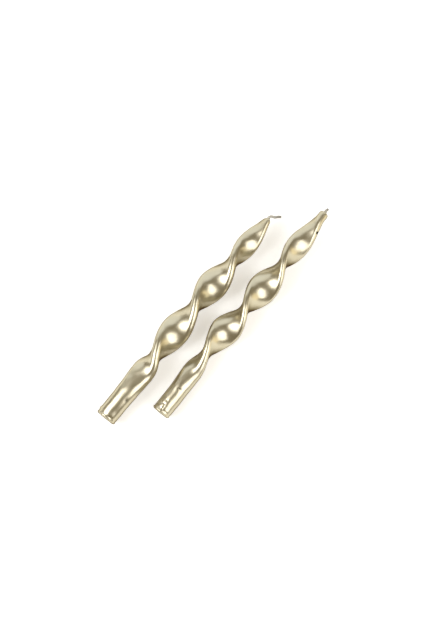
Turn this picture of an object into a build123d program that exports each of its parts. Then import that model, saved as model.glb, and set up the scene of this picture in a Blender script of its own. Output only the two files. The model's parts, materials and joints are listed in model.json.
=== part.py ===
from build123d import *

import os
from dataclasses import dataclass
from math import atan, cos, degrees, radians, sin

import numpy as np
from scipy.interpolate import PchipInterpolator

# A pair of taper candles lying side by side on a table.
# Each one is round at its base and flattened to an oval ribbon above that. The ribbon is wound by hand
# into an open left-handed spiral that closes to a blunt tip, and a wick runs through the wax.
# Sizes are in millimetres and angles in degrees. Distances along a candle start at its base end.

PLUG_LENGTH = 14.0  # straight round end that stands in a candle socket
RIM_RADIUS = 2.0  # rounding of the base end
TIP_RADIUS = 1.6  # rounding of the blunt tip
FACE_ARC = 15.0  # half angle of the shallow arc on each broad side of the ribbon
TAPER_POWER = 1.7  # 1 tapers along a straight line, more keeps the ribbon full for longer
WICK_DIAMETER = 2.0
WICK_BEND_RADIUS = 3.0
WICK_COVER = 2.0  # wax between the base end and the foot of the wick
SECTION_STEP = 6.0  # spacing of the sections that shape the spiral
REST_STEP = 0.5  # spacing of the points at which the resting height is found
TABLE_LEAD = 38.6  # how far the right candle lies ahead of the left one
TABLE_GAP = 7.9  # clear space between the two ribbons at their widest


@dataclass
class Candle:
    """Sizes of one candle."""

    length: float
    plug_diameter: float
    ribbon_width: float
    ribbon_thickness: float
    flat_from: float  # distance at which the round end starts to flatten
    thin_by: float  # distance at which the ribbon is down to its thickness
    wide_by: float  # distance at which it has spread to its width
    taper_length: float
    tip_width: float
    tip_thickness: float
    start_angle: float  # turn of the ribbon before the winding starts
    turn_from: float  # distance at which the winding starts
    on_edge: tuple  # distances at which the ribbon stands on edge, half a turn apart
    bow: float  # how far the hand-wound axis strays sideways
    bow_at: float
    bow_reach: float
    wick_rise: float  # from the tip to the corner of the wick's bend
    wick_reach: float  # from that corner to the wick's end
    wick_bend: float
    yaw: float  # heading on the table


LEFT = Candle(
    length=258.0,
    plug_diameter=21.2,
    ribbon_width=30.4,
    ribbon_thickness=13.4,
    flat_from=15.0,
    thin_by=72.0,
    wide_by=112.0,
    taper_length=88.0,
    tip_width=12.3,
    tip_thickness=6.6,
    start_angle=12.0,
    turn_from=54.0,
    on_edge=(80.4, 143.6, 202.4, 262.4),
    bow=1.35,
    bow_at=135.0,
    bow_reach=90.0,
    wick_rise=3.0,
    wick_reach=12.0,
    wick_bend=55.0,
    yaw=0.39,
)

RIGHT = Candle(
    length=260.0,
    plug_diameter=19.2,
    ribbon_width=30.5,
    ribbon_thickness=11.0,
    flat_from=26.0,
    thin_by=77.0,
    wide_by=113.0,
    taper_length=84.0,
    tip_width=9.8,
    tip_thickness=9.6,
    start_angle=-8.0,
    turn_from=29.0,
    on_edge=(75.0, 133.9, 193.0, 258.3),
    bow=2.5,
    bow_at=84.0,
    bow_reach=70.0,
    wick_rise=3.0,
    wick_reach=3.0,
    wick_bend=0.0,
    yaw=-0.1,
)


def ease(x, start, end):
    """Smooth step from 0 at start to 1 at end."""
    t = np.clip((x - start) / (end - start), 0.0, 1.0)
    return t * t * (3.0 - 2.0 * t)


def ribbon_size(candle, along):
    """Width and thickness of the ribbon: round at the plug, flattened above it, tapered to the tip."""
    plug = candle.plug_diameter
    width = plug + (candle.ribbon_width - plug) * ease(along, candle.flat_from, candle.wide_by)
    thickness = plug + (candle.ribbon_thickness - plug) * ease(along, candle.flat_from, candle.thin_by)
    into_taper = (along - candle.length + candle.taper_length) / candle.taper_length
    closing = np.clip(into_taper, 0.0, 1.0) ** TAPER_POWER
    width += (candle.tip_width - width) * closing
    thickness += (candle.tip_thickness - thickness) * closing
    return width, thickness


def ribbon_turn(candle, along):
    """Turn of the ribbon about the axis, 0 where it lies flat and 90 where it first stands on edge."""
    knots = [PLUG_LENGTH, candle.turn_from, *candle.on_edge]
    while knots[-1] < candle.length:
        knots.append(2 * knots[-1] - knots[-2])
    turns = [candle.start_angle] * 2 + [90.0 + 180.0 * i for i in range(len(knots) - 2)]
    return PchipInterpolator(knots, turns)(np.maximum(along, PLUG_LENGTH))


def sideways(candle, along):
    """Sideways bow of the axis, a smooth hump that starts and ends straight."""
    t = np.clip((along - candle.bow_at) / candle.bow_reach, -1.0, 1.0)
    return candle.bow * (1.0 - t * t) ** 2


def oval_radii(width, thickness):
    """Radii of an oval's edge arcs and face arcs, which meet in tangency."""
    arc = radians(FACE_ARC)
    spread = (width - thickness) / 2 / (sin(arc) + cos(arc) - 1)
    return width / 2 - spread * sin(arc), thickness / 2 + spread * cos(arc)


def oval(width, thickness):
    """Oval face of four tangent arcs, a small one on each edge and a large one on each broad side."""
    edge, face = oval_radii(width, thickness)
    across, crown = width / 2 - edge, face - thickness / 2
    edge_sweep, face_sweep = 180 - 2 * FACE_ARC, 2 * FACE_ARC
    return make_face(
        [
            CenterArc((across, 0), edge, FACE_ARC - 90, edge_sweep),
            CenterArc((0, -crown), face, 90 - FACE_ARC, face_sweep),
            CenterArc((-across, 0), edge, 90 + FACE_ARC, edge_sweep),
            CenterArc((0, crown), face, 270 - FACE_ARC, face_sweep),
        ]
    )


def half_height(width, thickness, turn):
    """How far a turned oval reaches below its centre."""
    edge, face = oval_radii(width, thickness)
    rise, level = np.abs(np.sin(np.radians(turn))), np.abs(np.cos(np.radians(turn)))
    on_edge_arc = (width / 2 - edge) * rise + edge
    on_face_arc = face - (face - thickness / 2) * level
    return np.where(level <= cos(radians(FACE_ARC)), on_edge_arc, on_face_arc)


def section(candle, along):
    """Cross section of the spiral at a distance along it."""
    turn = radians(ribbon_turn(candle, along))
    centre = (along, sideways(candle, along), 0)
    plane = Plane(centre, x_dir=(0, cos(turn), -sin(turn)), z_dir=(1, 0, 0))
    return plane * oval(*ribbon_size(candle, along))


def candle_form(candle):
    """Whole form of a candle along X: round plug, wound ribbon, rounded base and tip."""
    steps = round((candle.length - PLUG_LENGTH) / SECTION_STEP)
    ribbon = loft([section(candle, along) for along in np.linspace(PLUG_LENGTH, candle.length, steps + 1)])
    form = ribbon + extrude(Plane.YZ * Circle(candle.plug_diameter / 2), PLUG_LENGTH)
    form = fillet(form.faces().sort_by(Axis.X)[0].edges(), RIM_RADIUS)
    return fillet(form.faces().sort_by(Axis.X)[-1].edges(), TIP_RADIUS)


def wick(candle):
    """Wick from its foot in the wax to its free end past the tip, bent sideways where it was pinched."""
    foot = Vector(WICK_COVER, 0, 0)
    corner = Vector(candle.length + candle.wick_rise, 0, 0)
    end = corner + Vector(candle.wick_reach, 0, 0).rotate(Axis.Z, -candle.wick_bend)
    if candle.wick_bend:
        path = FilletPolyline(foot, corner, end, radius=WICK_BEND_RADIUS)
    else:
        path = Line(foot, end)
    return sweep(Plane(foot, x_dir=(0, 1, 0), z_dir=(1, 0, 0)) * Circle(WICK_DIAMETER / 2), path)


def resting_place(candle, balance):
    """Tilt and height of the axis, lying on the lowest points either side of the balance point."""
    along = np.arange(RIM_RADIUS, candle.length - TIP_RADIUS, REST_STEP)
    reach = half_height(*ribbon_size(candle, along), ribbon_turn(candle, along))
    behind, ahead = along <= balance, along > balance
    run = along[ahead][None, :] - along[behind][:, None]
    slope = (reach[ahead][None, :] - reach[behind][:, None]) / run
    height = reach[behind][:, None] + slope * (balance - along[behind][:, None])
    i, j = np.unravel_index(height.argmax(), height.shape)
    base_height = height[i, j] - slope[i, j] * balance
    return degrees(atan(slope[i, j])), float(base_height)


def candle_pieces(candle, place):
    """Wax body and wick of one candle, set down on the table with its base end at place."""
    form, cord = candle_form(candle), wick(candle)
    tilt, height = resting_place(candle, form.center().X)
    pose = Pos(*place, height) * Rot(0, 0, candle.yaw) * Rot(0, -tilt, 0)
    return {"wax_body": pose * (form - cord), "wick": pose * cord}, pose


spacing = (LEFT.ribbon_width + RIGHT.ribbon_width) / 2 + TABLE_GAP
candles = {"left": (LEFT, (0.0, 0.0)), "right": (RIGHT, (TABLE_LEAD, -spacing))}
nodes, poses = {}, {}
for side, (candle, place) in candles.items():
    pieces, poses[side] = candle_pieces(candle, place)
    nodes.update({f"{side}_{name}": piece for name, piece in pieces.items()})

# The origin lies on the table, under the middle of the pair.
box = Compound(list(nodes.values())).bounding_box()
to_origin = Pos(-box.center().X, -box.center().Y, -box.min.Z)

os.makedirs("parts", exist_ok=True)
for name, piece in nodes.items():
    export_step(to_origin * piece, f"parts/{name}.step")

for side, pose in poses.items():
    base = to_origin * pose
    print(side, "base", base.position, "axis", (base * Location((1, 0, 0))).position - base.position)
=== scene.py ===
import json

import bpy
import numpy as np
from bpy.props import FloatProperty, FloatVectorProperty, PointerProperty
from bpy.types import Operator, Panel, PropertyGroup
from mathutils import Matrix


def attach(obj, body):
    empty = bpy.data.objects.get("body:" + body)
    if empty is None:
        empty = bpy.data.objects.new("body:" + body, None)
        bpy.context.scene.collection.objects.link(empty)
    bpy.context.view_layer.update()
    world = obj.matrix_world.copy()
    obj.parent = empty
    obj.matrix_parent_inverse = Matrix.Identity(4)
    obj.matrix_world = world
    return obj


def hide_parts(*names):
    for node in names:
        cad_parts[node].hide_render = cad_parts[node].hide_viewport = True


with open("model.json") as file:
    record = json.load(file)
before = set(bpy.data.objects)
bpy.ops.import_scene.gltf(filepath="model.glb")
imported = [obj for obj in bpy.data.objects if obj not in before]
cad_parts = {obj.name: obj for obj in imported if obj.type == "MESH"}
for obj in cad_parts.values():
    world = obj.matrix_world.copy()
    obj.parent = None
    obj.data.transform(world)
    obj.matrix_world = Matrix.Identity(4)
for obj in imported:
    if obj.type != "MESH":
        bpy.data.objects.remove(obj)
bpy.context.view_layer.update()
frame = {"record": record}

bl_info = {
    "name": "Spiral taper candles",
    "version": (1, 0, 0),
    "blender": (4, 5, 0),
    "location": "3D View > Sidebar > Candles",
    "description": "Dresses a pair of gold spiral taper candles and sets up their studio",
    "category": "Object",
}

# Lengths are in metres. Distances along a candle start at its base end.
MM = 0.001

# Each size of a candle: its name, its value on the left and on the right candle, its kind and what it is.
CANDLE_SIZES = (
    ("length", 258.0 * MM, 260.0 * MM, "DISTANCE", "From the base end to the tip"),
    ("plug_diameter", 21.2 * MM, 19.2 * MM, "DISTANCE", "Width of the round base"),
    ("ribbon_width", 30.4 * MM, 30.5 * MM, "DISTANCE", "Width of the flattened ribbon"),
    ("ribbon_thickness", 13.4 * MM, 11.0 * MM, "DISTANCE", "Thickness of the flattened ribbon"),
    ("flat_from", 15.0 * MM, 26.0 * MM, "DISTANCE", "Where the round base starts to flatten"),
    ("thin_by", 72.0 * MM, 77.0 * MM, "DISTANCE", "Where the ribbon is down to its thickness"),
    ("wide_by", 112.0 * MM, 113.0 * MM, "DISTANCE", "Where the ribbon has spread to its width"),
    ("taper_length", 88.0 * MM, 84.0 * MM, "DISTANCE", "Length over which the ribbon closes to its tip"),
    ("tip_width", 12.3 * MM, 9.8 * MM, "DISTANCE", "Width of the blunt tip"),
    ("tip_thickness", 6.6 * MM, 9.6 * MM, "DISTANCE", "Thickness of the blunt tip"),
    ("start_angle", np.radians(12.0), np.radians(-8.0), "ANGLE", "Turn of the ribbon before it winds"),
    ("turn_from", 54.0 * MM, 29.0 * MM, "DISTANCE", "Where the winding starts"),
    ("first_edge", 80.4 * MM, 75.0 * MM, "DISTANCE", "Where the ribbon first stands on edge"),
    ("second_edge", 143.6 * MM, 133.9 * MM, "DISTANCE", "Where it stands on edge half a turn later"),
    ("third_edge", 202.4 * MM, 193.0 * MM, "DISTANCE", "Where it stands on edge a turn later"),
    ("fourth_edge", 262.4 * MM, 258.3 * MM, "DISTANCE", "Where it stands on edge one and a half turns later"),
    ("bow", 1.35 * MM, 2.5 * MM, "DISTANCE", "How far the hand-wound axis strays sideways"),
    ("bow_at", 135.0 * MM, 84.0 * MM, "DISTANCE", "Middle of the bow"),
    ("bow_reach", 90.0 * MM, 70.0 * MM, "DISTANCE", "Half the length of the bow"),
    ("base_slope", np.radians(10.0), 0.0, "ANGLE", "How far the skin of the base leans to its end"),
    ("slope_until", 34.0 * MM, 14.0 * MM, "DISTANCE", "Where that lean runs out"),
    ("wick_rise", 3.0 * MM, 3.0 * MM, "DISTANCE", "From the tip to the bend in the wick"),
    ("wick_reach", 12.0 * MM, 3.0 * MM, "DISTANCE", "From that bend to the end of the wick"),
    ("wick_bend", np.radians(55.0), 0.0, "ANGLE", "How far the wick was bent sideways"),
)


def candle_sizes(side, column):
    """Property group class for one candle, with its column of the table as the defaults."""
    fields = {}
    for row in CANDLE_SIZES:
        label = row[0].replace("_", " ").capitalize()
        fields[row[0]] = FloatProperty(name=label, description=row[4], default=row[column], subtype=row[3])
    body = {"__annotations__": fields, "__doc__": f"Sizes of the {side} candle"}
    return type(f"{side.capitalize()}CandleSizes", (PropertyGroup,), body)


LeftCandleSizes = candle_sizes("left", 1)
RightCandleSizes = candle_sizes("right", 2)


class CandleSettings(PropertyGroup):
    """Sizes and colours that both candles share"""

    left: PointerProperty(name="Left candle", description="Sizes of the left candle", type=LeftCandleSizes)
    right: PointerProperty(
        name="Right candle", description="Sizes of the right candle", type=RightCandleSizes
    )
    plug_length: FloatProperty(
        name="Plug length", description="Straight round end", default=14.0 * MM, subtype="DISTANCE"
    )
    rim_radius: FloatProperty(
        name="Rim radius", description="Rounding of the base end", default=2.0 * MM, subtype="DISTANCE"
    )
    tip_radius: FloatProperty(
        name="Tip radius", description="Rounding of the tip", default=3.0 * MM, subtype="DISTANCE"
    )
    face_arc: FloatProperty(
        name="Face arc",
        description="Half angle of the shallow arc on each broad side",
        default=np.radians(15.0),
        subtype="ANGLE",
    )
    taper_power: FloatProperty(name="Taper power", description="How long the ribbon stays full", default=1.7)
    wick_diameter: FloatProperty(
        name="Wick diameter", description="Width of the braid", default=2.5 * MM, subtype="DISTANCE"
    )
    wick_bend_radius: FloatProperty(
        name="Wick bend radius", description="Radius of the bend", default=3.0 * MM, subtype="DISTANCE"
    )
    gold: FloatVectorProperty(
        name="Gold", description="Colour of the metallic coat", default=(0.60, 0.56, 0.43), subtype="COLOR"
    )
    gold_warm: FloatVectorProperty(
        name="Warm gold", description="Coat where it is mottled", default=(0.56, 0.50, 0.35), subtype="COLOR"
    )
    # Painted shade: the coat takes this darker gold where its surface faces level or down.
    gold_shaded: FloatVectorProperty(
        name="Deep gold",
        description="Coat where it ran down the sides",
        default=(0.34, 0.27, 0.15),
        subtype="COLOR",
    )
    gold_edge: FloatVectorProperty(
        name="Edge tint",
        description="Tint of the coat seen edge on",
        default=(0.08, 0.05, 0.02),
        subtype="COLOR",
    )
    # Dark specks, and painted shade in the dents that most of them sit on.
    speck_and_dent_shade: FloatVectorProperty(
        name="Grime", description="Colour of dark specks", default=(0.03, 0.026, 0.018), subtype="COLOR"
    )
    cotton: FloatVectorProperty(
        name="Cotton",
        description="Wick where it is pale with wax",
        default=(0.52, 0.49, 0.42),
        subtype="COLOR",
    )
    cotton_sooty: FloatVectorProperty(
        name="Sooty cotton", description="Wick towards its end", default=(0.27, 0.25, 0.21), subtype="COLOR"
    )


class StageSettings(PropertyGroup):
    """Camera, floor and lights"""

    azimuth: FloatProperty(
        name="Azimuth", description="Heading of the camera", default=np.radians(-50.721), subtype="ANGLE"
    )
    elevation: FloatProperty(
        name="Elevation", description="Camera above the horizon", default=np.radians(80.0), subtype="ANGLE"
    )
    distance: FloatProperty(name="Distance", description="Camera to target", default=1.5, subtype="DISTANCE")
    target: FloatVectorProperty(
        name="Target",
        description="Point in the middle of the picture",
        default=(-6.908 * MM, 2.961 * MM, 14.0 * MM),
        subtype="XYZ",
    )
    lens: FloatProperty(name="Lens", description="Focal length in millimetres", default=85.88)
    floor: FloatVectorProperty(
        name="Floor", description="Colour of the floor", default=(0.82, 0.82, 0.8), subtype="COLOR"
    )
    floor_glow: FloatProperty(
        name="Floor glow", description="What brings the floor up to white in the picture", default=0.42
    )
    glow_tint: FloatVectorProperty(
        name="Glow tint",
        description="Colour that the floor's shadows take on",
        default=(1.0, 0.98, 0.94),
        subtype="COLOR",
    )
    surroundings: FloatVectorProperty(
        name="Surroundings",
        description="Colour of the dim studio",
        default=(0.27, 0.225, 0.145),
        subtype="COLOR",
    )


class Shade:
    """A socket in a node tree. Arithmetic on it adds Math nodes, and add makes any other node."""

    def __init__(self, tree, socket=None):
        self.tree = tree
        self.socket = socket

    def add(self, kind, settings, inputs, output=0):
        """New node of a kind: its settings first, then values or links for its inputs. Gives one output."""
        node = self.tree.nodes.new(kind)
        for name, value in settings.items():
            setattr(node, name, value)
        for key, value in inputs.items():
            if isinstance(value, Shade):
                self.tree.links.new(value.socket, node.inputs[key])
            else:
                node.inputs[key].default_value = value
        return Shade(self.tree, node.outputs[output] if len(node.outputs) else None)

    def math(self, operation, first, second):
        return self.add("ShaderNodeMath", {"operation": operation}, {0: first, 1: second})

    def __add__(self, other):
        return self.math("ADD", self, other)

    def __sub__(self, other):
        return self.math("SUBTRACT", self, other)

    def __mul__(self, other):
        return self.math("MULTIPLY", self, other)

    def __rsub__(self, other):
        return self.math("SUBTRACT", other, self)

    __radd__ = __add__
    __rmul__ = __mul__

    def blend(self, first, second):
        """Colour that goes from first to second as this value goes from 0 to 1."""
        settings = {"data_type": "RGBA"}
        return self.add("ShaderNodeMix", settings, {"Factor": self, 6: first, 7: second}, output=2)


def new_tree(owner):
    """Empty node tree of a material or world, wrapped for shading."""
    owner.use_nodes = True
    owner.node_tree.nodes.clear()
    return Shade(owner.node_tree)


def opaque(colour):
    return (*colour, 1.0)


def gold_material(settings):
    """Metallic lacquer on wax: deeper where it pooled, a little mottled, faintly peeled, with dark specks."""
    material = bpy.data.materials.new("gold_lacquer")
    tree = new_tree(material)
    place = tree.add("ShaderNodeTexCoord", {}, {}, output="Object")
    underside_shade = tree.add("ShaderNodeAttribute", {"attribute_name": "underside_shade"}, {}, output="Fac")
    # Specks: dark marks on the coat, and painted shade in the dents they sit on.
    speck = tree.add("ShaderNodeAttribute", {"attribute_name": "speck"}, {}, output="Fac")
    mottle = tree.add("ShaderNodeTexNoise", {}, {"Vector": place, "Scale": 70.0, "Detail": 3.0})
    peel = tree.add("ShaderNodeTexNoise", {}, {"Vector": place, "Scale": 420.0, "Detail": 2.0})
    lean = tree.add("ShaderNodeAttribute", {"attribute_name": "lean"}, {}, output="Fac")
    normal = tree.add("ShaderNodeBump", {}, {"Strength": 1.0, "Distance": 1.0, "Height": lean})
    peeled = {"Strength": 0.12, "Distance": 0.02 * MM, "Height": peel, "Normal": normal}
    normal = tree.add("ShaderNodeBump", {}, peeled)
    fresh = mottle.blend(opaque(settings.gold), opaque(settings.gold_warm))
    # Painted shade: the coat goes over to the darker gold where it faces down.
    shaded_film = underside_shade.blend(fresh, opaque(settings.gold_shaded))
    surface = tree.add(
        "ShaderNodeBsdfPrincipled",
        {},
        {
            "Base Color": speck.blend(shaded_film, opaque(settings.speck_and_dent_shade)),
            "Metallic": 1.0,
            "Roughness": 0.26 + 0.06 * mottle,
            "Specular Tint": opaque(settings.gold_edge),
            "Normal": normal,
        },
    )
    tree.add("ShaderNodeOutputMaterial", {}, {"Surface": surface})
    return material


def cotton_material(settings):
    """Braided cotton, pale with wax where it leaves the candle and sooty towards its end."""
    material = bpy.data.materials.new("waxed_cotton")
    tree = new_tree(material)
    place = tree.add("ShaderNodeTexCoord", {}, {}, output="Object")
    soot = tree.add("ShaderNodeAttribute", {"attribute_name": "soot"}, {}, output="Fac")
    fibre = tree.add("ShaderNodeTexNoise", {}, {"Vector": place, "Scale": 1500.0, "Detail": 4.0})
    waxed = soot.blend(opaque(settings.cotton), opaque(settings.cotton_sooty))
    shade = fibre.blend((0.5, 0.5, 0.5, 1.0), (1.5, 1.5, 1.5, 1.0))
    multiply = {"data_type": "RGBA", "blend_type": "MULTIPLY"}
    mixed = tree.add("ShaderNodeMix", multiply, {0: 1.0, 6: waxed, 7: shade}, output=2)
    normal = tree.add("ShaderNodeBump", {}, {"Strength": 0.6, "Distance": 0.05 * MM, "Height": fibre})
    surface = tree.add(
        "ShaderNodeBsdfPrincipled", {}, {"Base Color": mixed, "Roughness": 0.8, "Normal": normal}
    )
    tree.add("ShaderNodeOutputMaterial", {}, {"Surface": surface})
    return material


def floor_material(stage):
    """Pale matt floor that the camera and the gold see brought up to white, with its shadows kept."""
    material = bpy.data.materials.new("studio_floor")
    tree = new_tree(material)
    rays = ("Camera", "Glossy", "Transmission")
    seen = [tree.add("ShaderNodeLightPath", {}, {}, output=f"Is {ray} Ray") for ray in rays]
    matt = tree.add("ShaderNodeBsdfDiffuse", {}, {"Color": opaque(stage.floor)})
    strength = (seen[0] + seen[1] + seen[2]) * stage.floor_glow
    glow = tree.add("ShaderNodeEmission", {}, {"Color": opaque(stage.glow_tint), "Strength": strength})
    surface = tree.add("ShaderNodeAddShader", {}, {0: matt, 1: glow})
    tree.add("ShaderNodeOutputMaterial", {}, {"Surface": surface})
    return material


def mesh_object(name, parts, material, values):
    """Mesh object from parts, each a grid of closed rows of points with a point that closes each end.

    Each named list of values has a grid for each part, and the points that close it take the nearest value.
    """
    points, faces, start = [], [], 0
    for rows, first, last in parts:
        count, around = rows.shape[:2]
        points += [np.array([first]), rows.reshape(-1, 3), np.array([last])]
        here = start + 1 + np.arange(count * around).reshape(count, around)
        beside = np.roll(here, -1, axis=1)
        quads = np.stack([here[:-1], beside[:-1], beside[1:], here[1:]], axis=-1).reshape(-1, 4)
        opening = np.stack([np.full(around, start), beside[0], here[0]], axis=-1)
        end = start + 1 + count * around
        closing = np.stack([np.full(around, end), here[-1], beside[-1]], axis=-1)
        faces += quads.tolist() + opening.tolist() + closing.tolist()
        start = end + 1
    mesh = bpy.data.meshes.new(name)
    mesh.from_pydata(np.concatenate(points).tolist(), [], faces)
    mesh.polygons.foreach_set("use_smooth", np.ones(len(mesh.polygons), bool))
    for label, grids in values.items():
        flat = np.concatenate([np.concatenate([grid[0, :1], grid.ravel(), grid[-1, :1]]) for grid in grids])
        mesh.attributes.new(label, "FLOAT", "POINT").data.foreach_set("value", flat)
    mesh.materials.append(material)
    mesh.update()
    piece = bpy.data.objects.new(name, mesh)
    bpy.context.scene.collection.objects.link(piece)
    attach(piece, "root")
    return piece


def ease(x, start, end):
    """Smooth step from 0 at start to 1 at end."""
    t = np.clip((x - start) / (end - start), 0.0, 1.0)
    return t * t * (3.0 - 2.0 * t)


def monotone(knots, values, x):
    """Smooth curve through the knots that never overshoots: cubics with weighted harmonic mean slopes."""
    knots, values = np.asarray(knots), np.asarray(values)
    run = np.diff(knots)
    rise = np.diff(values) / run
    before, after = 2 * run[1:] + run[:-1], run[1:] + 2 * run[:-1]
    level = rise[:-1] * rise[1:] <= 0
    pair = np.where(level, 1.0, rise[:-1]), np.where(level, 1.0, rise[1:])
    inner = np.where(level, 0.0, (before + after) / (before / pair[0] + after / pair[1]))
    first = rise[0]
    last = ((2 * run[-1] + run[-2]) * rise[-1] - run[-1] * rise[-2]) / (run[-1] + run[-2])
    slope = np.concatenate([[first], inner, [last]])
    i = np.clip(np.searchsorted(knots, x) - 1, 0, len(run) - 1)
    t = (x - knots[i]) / run[i]
    low = (1 + 2 * t) * (1 - t) ** 2 * values[i] + t * (1 - t) ** 2 * run[i] * slope[i]
    return low + t * t * (3 - 2 * t) * values[i + 1] + t * t * (t - 1) * run[i] * slope[i + 1]


def ribbon_size(settings, candle, along):
    """Width and thickness along a candle: round at the plug, flattened above it, tapered to the tip."""
    plug = candle.plug_diameter
    width = plug + (candle.ribbon_width - plug) * ease(along, candle.flat_from, candle.wide_by)
    thickness = plug + (candle.ribbon_thickness - plug) * ease(along, candle.flat_from, candle.thin_by)
    into_taper = (along - candle.length + candle.taper_length) / candle.taper_length
    closing = np.clip(into_taper, 0.0, 1.0) ** settings.taper_power
    width = width + (candle.tip_width - width) * closing
    thickness = thickness + (candle.tip_thickness - thickness) * closing
    return width, thickness


def ribbon_turn(settings, candle, along):
    """Turn of the ribbon about the axis in radians, a quarter turn where it first stands on edge."""
    knots = [settings.plug_length, candle.turn_from]
    knots += [candle.first_edge, candle.second_edge, candle.third_edge, candle.fourth_edge]
    while knots[-1] < candle.length:
        knots.append(2 * knots[-1] - knots[-2])
    turns = [candle.start_angle] * 2 + [np.pi * (i + 0.5) for i in range(len(knots) - 2)]
    return monotone(knots, turns, np.maximum(along, settings.plug_length))


def sideways(candle, along):
    """Sideways bow of the axis, a smooth hump that starts and ends straight."""
    t = np.clip((along - candle.bow_at) / candle.bow_reach, -1.0, 1.0)
    return candle.bow * (1.0 - t * t) ** 2


def oval(settings, width, thickness, facing):
    """Point of an oval of four tangent arcs whose outward normal faces the given angle, as whole arrays."""
    arc = settings.face_arc
    spread = (width - thickness) / 2 / (np.sin(arc) + np.cos(arc) - 1)
    edge, face = width / 2 - spread * np.sin(arc), thickness / 2 + spread * np.cos(arc)
    on_face = np.abs(np.sin(facing)) > np.cos(arc)
    across = np.where(on_face, face * np.cos(facing), edge * np.cos(facing))
    up = np.where(on_face, face * np.sin(facing), edge * np.sin(facing))
    across = across + np.where(on_face, 0.0, np.sign(np.cos(facing)) * (width / 2 - edge))
    up = up - np.where(on_face, np.sign(np.sin(facing)) * (face - thickness / 2), 0.0)
    return across, up


def candle_axes(side):
    """Base end of a candle and its three directions: along it, level across it and up from it."""
    mount = next(m for m in frame["record"]["mounts"] if m["name"] == f"{side}_base_end")
    along = -np.array(mount["axis"])
    across = np.cross([0.0, 0.0, 1.0], along)
    across /= np.linalg.norm(across)
    return np.array(mount["pos_m"]), np.stack([along, across, np.cross(along, across)])


def place(side, local):
    """Points given along, across and up from a candle's base end, in the frame of the model."""
    origin, axes = candle_axes(side)
    return origin + local @ axes


ROW_STEP = 0.6 * MM
EDGE_POINTS = 40
FACE_POINTS = 26
ROUNDING_ROWS = 12
END_ROWS = 6


def coat_rows(settings, candle):
    """Distance along a candle of each row of points, how far it is drawn in, and its scale at the tip."""
    quarter = np.linspace(0.0, np.pi / 2, ROUNDING_ROWS)
    rim, tip = settings.rim_radius, settings.tip_radius
    side = np.arange(rim + ROW_STEP, candle.length - tip, ROW_STEP)
    disc = np.linspace(candle.plug_diameter / 2, rim, END_ROWS, endpoint=False)[1:]
    closing = np.linspace(1.0, 0.0, END_ROWS, endpoint=False)[1:]
    along = [0 * disc, rim * (1 - np.cos(quarter)), side]
    along += [candle.length - tip * (1 - np.sin(quarter)), 0 * closing + candle.length]
    inset = [disc, rim * (1 - np.sin(quarter)), 0 * side, tip * (1 - np.cos(quarter)), 0 * closing + tip]
    scale = [0 * disc + 1, 0 * quarter + 1, 0 * side + 1, 0 * quarter + 1, closing]
    return np.concatenate(along), np.concatenate(inset), np.concatenate(scale)


# Dents that the hand work left in each coat, in millimetres: distance along the candle, distance to the
# left of its axis, half length, half width and depth. A depth below zero stands proud.
DENTS = {
    "left": (
        (5.7, 10.2, 1.2, 1.5, -0.7),
        (26.4, -6.0, 2.4, 1.8, 0.15),
        (76.0, -3.5, 0.7, 0.7, 0.2),
    ),
    "right": (
        (6.0, 0.5, 2.6, 0.8, 0.35),
        (9.5, 3.0, 0.9, 2.4, 0.3),
        (4.0, 4.8, 1.0, 2.0, 0.3),
        (11.5, 6.2, 2.0, 0.9, 0.28),
        (13.5, 1.8, 1.6, 1.2, 0.25),
        (7.2, 7.8, 1.8, 0.9, 0.3),
        (30.0, -1.2, 1.1, 2.2, 0.35),
        (238.0, -7.4, 0.9, 0.9, 0.25),
        (259.2, 2.4, 0.4, 0.5, -0.3),
        (259.6, 0.6, 0.4, 0.4, -0.3),
    ),
}

# Dark specks and smudges in the same terms, with their darkness last. Most sit on the dents above and
# are painted shade in them as well as dark marks on the coat.
SPECKS = {
    "left": ((26.4, -6.2, 1.7, 1.2, 0.7), (76.1, -3.5, 0.5, 0.5, 0.8), (72.4, -3.1, 0.4, 0.4, 0.6)),
    "right": ((238.0, -7.4, 1.2, 1.1, 2.0), (30.2, -1.0, 0.6, 1.6, 0.5), (6.0, 0.4, 2.0, 0.5, 0.5)),
}

SKIN_GAP = 0.03 * MM  # how far the skin stays inside the solid
COLLAR_LENGTH = 1.4 * MM  # how far the coat climbs the wick at the tip
SHADE_REACH = 0.22  # height of the normal below which the coat is drawn darker as painted shade


def soft_spots(rows, along, level, height):
    """Sum of spots on the upper side: amount * exp(-((along - at) / long)^2 - ((level - aside) / wide)^2)."""
    total = np.zeros(level.shape)
    for at, aside, long, wide, amount in rows:
        total += amount * np.exp(-(((along / MM - at) / long) ** 2) - ((level / MM - aside) / wide) ** 2)
    return total * ease(height, -2 * MM, 1 * MM)


def hand_waves(candle, along, bearing):
    """Slow waves of a hand-made surface: sines along and round it, and a lumpy bead round the base rim."""
    start = 1000 * candle.plug_diameter
    waves = 0.05 * np.sin(2 * np.pi * along / (17 * MM) + 2 * bearing + start)
    waves += 0.035 * np.sin(2 * np.pi * along / (11.3 * MM) - 3 * bearing + 2 * start) - 0.085
    lumps = 0.08 * np.sin(9 * bearing + start) + 0.05 * np.sin(14 * bearing - start) - 0.13
    bead = 0.3 * np.exp(-((along / MM - 1.4) ** 2)) - 0.25 * np.exp(-((along / MM - 3.4) ** 2))
    return (waves + lumps * (1 - ease(along, 1 * MM, 6 * MM)) + bead) * MM


def leaning(candle, along):
    """Height of a skin that leans to the base end up to a distance along the candle and is level after it."""
    short = candle.slope_until - along
    return -np.tan(candle.base_slope) * (short + np.hypot(short, 5 * MM)) / 2


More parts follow.
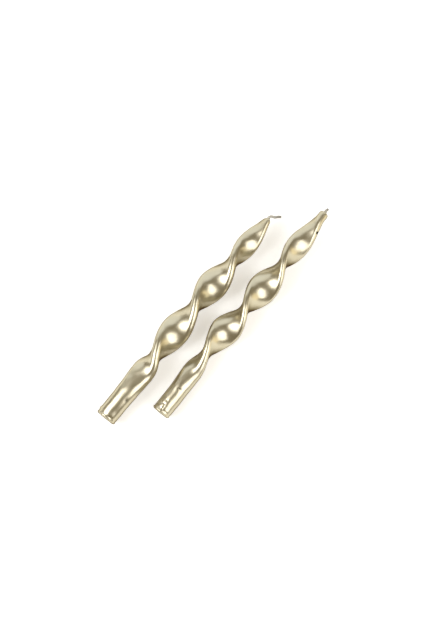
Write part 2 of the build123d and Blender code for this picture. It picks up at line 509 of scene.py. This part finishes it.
def coat_surface(settings, candle, side):
    """A candle's skin: ovals of four arcs that turn, flatten and taper along it, with marks of hand work.

    Gives the rows of points with the points that close them, and for each point how thick the coat lies,
    how dark its specks are and how high its lean is.
    """
    along, inset, scale = (row[:, None] for row in coat_rows(settings, candle))
    arc = settings.face_arc
    on_edge = np.linspace(arc - np.pi / 2, np.pi / 2 - arc, EDGE_POINTS, endpoint=False)
    on_face = np.linspace(np.pi / 2 - arc, np.pi / 2 + arc, FACE_POINTS, endpoint=False)
    half = np.concatenate([on_edge, on_face])
    facing = np.concatenate([half, half + np.pi])[None, :]
    width, thickness = ribbon_size(settings, candle, along)
    drawn_in = 2 * (inset + SKIN_GAP)
    across, up = oval(settings, width - drawn_in, thickness - drawn_in, facing)
    turn = ribbon_turn(settings, candle, along)
    level = scale * (across * np.cos(turn) + up * np.sin(turn))
    height = scale * (up * np.cos(turn) - across * np.sin(turn))
    # Painted shade: 1 where the surface faces level or down, falling to 0 as it turns to face up.
    underside_shade = 1 - ease(np.sin(facing - turn), 0.0, SHADE_REACH)
    bearing = np.arctan2(height, level)
    proud = hand_waves(candle, along, bearing) - MM * soft_spots(DENTS[side], along, level, height)
    proud = proud * scale * (1 - ease(inset, settings.rim_radius, 3 * settings.rim_radius))
    speck = soft_spots(SPECKS[side], along, level, height)
    ragged = 1 + 0.3 * np.sin(3 * bearing + 1.0) + 0.25 * np.sin(7 * bearing)
    collar = COLLAR_LENGTH * ease(1 - scale, 0.1, 0.7) * ragged
    level = level + proud * np.cos(facing - turn) + sideways(candle, along)
    height = height + proud * np.sin(facing - turn)
    forward = np.clip(along, SKIN_GAP, candle.length - SKIN_GAP) + collar
    rows = place(side, np.stack([forward, level, height], axis=-1))
    ends = place(side, np.array([[SKIN_GAP, 0.0, 0.0], [candle.length, 0.0, 0.0]]))
    lean = leaning(candle, along) + 0 * level
    return (rows, *ends), {"underside_shade": [underside_shade], "speck": [speck], "lean": [lean]}


def wick_line(settings, candle, distance):
    """Centre line of the wick, straight up the axis, round its bend and straight on, with its heading."""
    radius, bend = settings.wick_bend_radius, candle.wick_bend
    start = candle.length + candle.wick_rise - radius * np.tan(bend / 2)
    heading = np.clip((distance - start) / radius, 0.0, bend)
    straight = np.minimum(distance, start)
    beyond = np.maximum(distance - start - radius * bend, 0.0)
    forward = straight + radius * np.sin(heading) + beyond * np.cos(bend)
    aside = -radius * (1 - np.cos(heading)) - beyond * np.sin(bend)
    return np.stack([forward, aside, 0 * distance], axis=-1), heading


def tube(centres, radius, around):
    """Rows of points round a line of centres, each with its radius, and the points that close its ends."""
    ahead = np.gradient(centres, axis=0)
    ahead /= np.linalg.norm(ahead, axis=1, keepdims=True)
    aside = np.cross(ahead, [0.0, 0.0, 1.0])
    aside /= np.linalg.norm(aside, axis=1, keepdims=True)
    over = np.cross(aside, ahead)
    turn = np.linspace(0.0, 2 * np.pi, around, endpoint=False)[None, :, None]
    ring = np.cos(turn) * aside[:, None] + np.sin(turn) * over[:, None]
    return centres[:, None] + radius[:, None, None] * ring, centres[0], centres[-1]


STRANDS = 3
STRAND_STEP = 0.12 * MM
STRAND_SIDES = 14
BRAID_PITCH = 4.2 * MM
BRAID_BURIED = 4.0 * MM  # how far the braid starts below the tip
KNOB_PITCH = 2.9 * MM
FIBRES = 9
FIBRE_LENGTH = 1.1 * MM
FIBRE_ROWS = 8
FIBRE_SIDES = 6
CORE_ROWS = 40
CORE_SIDES = 16
CORE_FOOT = 4.0 * MM  # from the base end to the foot of the core


def wick_parts(settings, candle, side):
    """Braided wick: knobby strands woven across and over each other and frayed at the end, on a core.

    Gives the parts and how sooty each point is, from 0 where the wick leaves the wax to 1 at its end.
    """
    bend_saving = 2 * settings.wick_bend_radius * np.tan(candle.wick_bend / 2)
    bend_saving -= settings.wick_bend_radius * candle.wick_bend
    end = candle.length + candle.wick_rise + candle.wick_reach - bend_saving - FIBRE_LENGTH - 0.1 * MM
    distance = np.arange(candle.length - BRAID_BURIED, end, STRAND_STEP)
    centre, heading = wick_line(settings, candle, distance)
    wander = 0.3 * MM * np.sin(2 * np.pi * (distance - candle.length) / (9 * MM)) * (distance > candle.length)
    width = settings.wick_diameter
    parts, soot = [], []
    for strand in range(STRANDS):
        phase = 2 * np.pi * (distance / BRAID_PITCH + strand / STRANDS)
        swing = 0.27 * width * np.sin(phase) + wander
        line = centre.copy()
        line[:, 0] += swing * np.sin(heading)
        line[:, 1] += swing * np.cos(heading)
        line[:, 2] += 0.15 * width * np.sin(2 * phase)
        knobs = 1 + 0.2 * np.sin(2 * np.pi * distance / KNOB_PITCH + 2.1 * strand)
        knobs += 0.4 * np.exp(-(((distance - candle.length) / MM - 1.2) ** 2))
        rounding = np.sqrt(np.clip((end - distance) / (0.4 * MM), 0.05, 1.0))
        parts.append(tube(line, 0.29 * width * knobs * rounding, STRAND_SIDES))
        soot.append(np.repeat(ease(distance, candle.length, end)[:, None], STRAND_SIDES, axis=1))
    for fibre in range(FIBRES):
        away = np.linspace(0.0, FIBRE_LENGTH * (0.55 + 0.45 * np.cos(5.0 * fibre) ** 2), FIBRE_ROWS)
        spot = 0.3 * width * np.sqrt((fibre + 0.5) / FIBRES) * (1 + 0.8 * away / FIBRE_LENGTH)
        spin = 2.4 * fibre
        line, heading_here = wick_line(settings, candle, end - 0.3 * MM + away)
        aside = spot * np.cos(spin) + wander[-1]
        line[:, 0] += aside * np.sin(heading_here)
        line[:, 1] += aside * np.cos(heading_here)
        line[:, 2] += spot * np.sin(spin)
        parts.append(tube(line, np.linspace(0.16, 0.07, FIBRE_ROWS) * MM, FIBRE_SIDES))
        soot.append(np.ones((FIBRE_ROWS, FIBRE_SIDES)))
    buried = np.linspace(CORE_FOOT, candle.length - BRAID_BURIED, CORE_ROWS)
    core, _ = wick_line(settings, candle, buried)
    parts.append(tube(core, np.full(CORE_ROWS, 0.4 * width), CORE_SIDES))
    soot.append(np.zeros((CORE_ROWS, CORE_SIDES)))
    return [tuple(place(side, points) for points in part) for part in parts], {"soot": soot}


class CANDLES_OT_coats(Operator):
    """Make the gold skins of both candles"""

    bl_idname = "candles.coats"
    bl_label = "Gold coats"

    def execute(self, context):
        settings = context.scene.candles
        gold = gold_material(settings)
        for side in ("left", "right"):
            surface, values = coat_surface(settings, getattr(settings, side), side)
            coat = mesh_object(f"{side}_coat", [surface], gold, values)
            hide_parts(f"{side}_wax_body")
        return {"FINISHED"}


class CANDLES_OT_wicks(Operator):
    """Make the braided wicks of both candles"""

    bl_idname = "candles.wicks"
    bl_label = "Braided wicks"

    def execute(self, context):
        settings = context.scene.candles
        cotton = cotton_material(settings)
        for side in ("left", "right"):
            parts, values = wick_parts(settings, getattr(settings, side), side)
            braid = mesh_object(f"{side}_braid", parts, cotton, values)
            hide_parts(f"{side}_wick")
        return {"FINISHED"}


# Each lamp: its place to the right, upwards and out of the picture, its width and height, its brightness
# and its colour.
LAMPS = {
    "left_softbox": ((-0.66, -0.11, 0.70), (0.88, 1.20), 1.9, (0.97, 0.99, 1.04)),
    "left_lamp": ((-0.64, -0.11, 0.68), (0.36, 0.60), 5.4, (0.97, 0.99, 1.04)),
    "right_softbox": ((0.54, -0.31, 0.68), (0.78, 1.15), 2.6, (0.97, 0.99, 1.04)),
    "back_panel": ((0.00, 0.85, 0.33), (2.20, 1.00), 1.0, (0.92, 0.99, 1.08)),
    "right_panel": ((0.97, -0.20, 0.14), (0.50, 0.75), 1.3, (1.00, 0.88, 0.62)),
}


FLOOR_REACH = 4.0  # from the middle of the floor to its sides


def look_from(direction, point, up):
    """Matrix of a camera or lamp at a point that looks against a direction."""
    back = np.asarray(direction) / np.linalg.norm(direction)
    right = np.cross(up, back)
    right /= np.linalg.norm(right)
    matrix = np.eye(4)
    matrix[:3, :3] = np.stack([right, np.cross(back, right), back], axis=1)
    matrix[:3, 3] = point
    return Matrix(matrix.tolist())


class CANDLES_OT_stage(Operator):
    """Make the floor, the studio lights and the camera"""

    bl_idname = "candles.stage"
    bl_label = "Studio"

    def execute(self, context):
        stage = context.scene.candle_stage
        target = np.array(stage.target)
        right = np.array([np.cos(stage.azimuth), np.sin(stage.azimuth), 0.0])
        away = np.array([-np.sin(stage.azimuth), np.cos(stage.azimuth), 0.0])
        zenith = np.array([0.0, 0.0, 1.0])

        mesh = bpy.data.meshes.new("floor")
        corners = np.array([[-1, -1, 0], [1, -1, 0], [1, 1, 0], [-1, 1, 0]]) * FLOOR_REACH
        mesh.from_pydata(corners.tolist(), [], [[0, 1, 2, 3]])
        mesh.materials.append(floor_material(stage))
        floor = bpy.data.objects.new("floor", mesh)
        context.scene.collection.objects.link(floor)

        for name, (offset, size, brightness, colour) in LAMPS.items():
            lamp = bpy.data.lights.new(name, "AREA")
            lamp.shape = "ELLIPSE"
            lamp.size, lamp.size_y = size
            lamp.energy = brightness * np.pi * np.pi / 4 * size[0] * size[1]
            lamp.color = colour
            out = offset[0] * right + offset[1] * away + offset[2] * zenith
            box = bpy.data.objects.new(name, lamp)
            box.matrix_world = look_from(out, target + out, away + zenith)
            context.scene.collection.objects.link(box)

        world = bpy.data.worlds.new("studio")
        tree = new_tree(world)
        backdrop = tree.add("ShaderNodeBackground", {}, {"Color": opaque(stage.surroundings)})
        tree.add("ShaderNodeOutputWorld", {}, {"Surface": backdrop})
        context.scene.world = world

        camera = bpy.data.cameras.new("camera")
        camera.lens = stage.lens
        camera.sensor_fit = "VERTICAL"
        camera.sensor_height = 36.0
        out = np.sin(stage.elevation) * zenith - np.cos(stage.elevation) * away
        viewer = bpy.data.objects.new("camera", camera)
        viewer.matrix_world = look_from(out, target + stage.distance * out, away)
        context.scene.collection.objects.link(viewer)
        context.scene.camera = viewer
        context.scene.view_settings.view_transform = "Standard"
        return {"FINISHED"}


class CANDLES_PT_panel(Panel):
    """Steps that dress the candles"""

    bl_idname = "CANDLES_PT_panel"
    bl_label = "Spiral taper candles"
    bl_space_type = "VIEW_3D"
    bl_region_type = "UI"
    bl_category = "Candles"

    def draw(self, context):
        for step in STEPS:
            self.layout.operator(step.bl_idname)
        for name in ("gold", "gold_shaded", "cotton"):
            self.layout.prop(context.scene.candles, name)


STEPS = (CANDLES_OT_coats, CANDLES_OT_wicks, CANDLES_OT_stage)
CLASSES = (LeftCandleSizes, RightCandleSizes, CandleSettings, StageSettings, *STEPS, CANDLES_PT_panel)


def register():
    for cls in CLASSES:
        bpy.utils.register_class(cls)
    bpy.types.Scene.candles = PointerProperty(type=CandleSettings)
    bpy.types.Scene.candle_stage = PointerProperty(type=StageSettings)


def unregister():
    del bpy.types.Scene.candle_stage
    del bpy.types.Scene.candles
    for cls in reversed(CLASSES):
        bpy.utils.unregister_class(cls)


def main():
    """Dress the candles, set the studio and note the size before and after."""
    register()
    bpy.ops.candles.coats()
    bpy.ops.candles.wicks()
    bpy.ops.candles.stage()


if __name__ == "__main__":
    main()
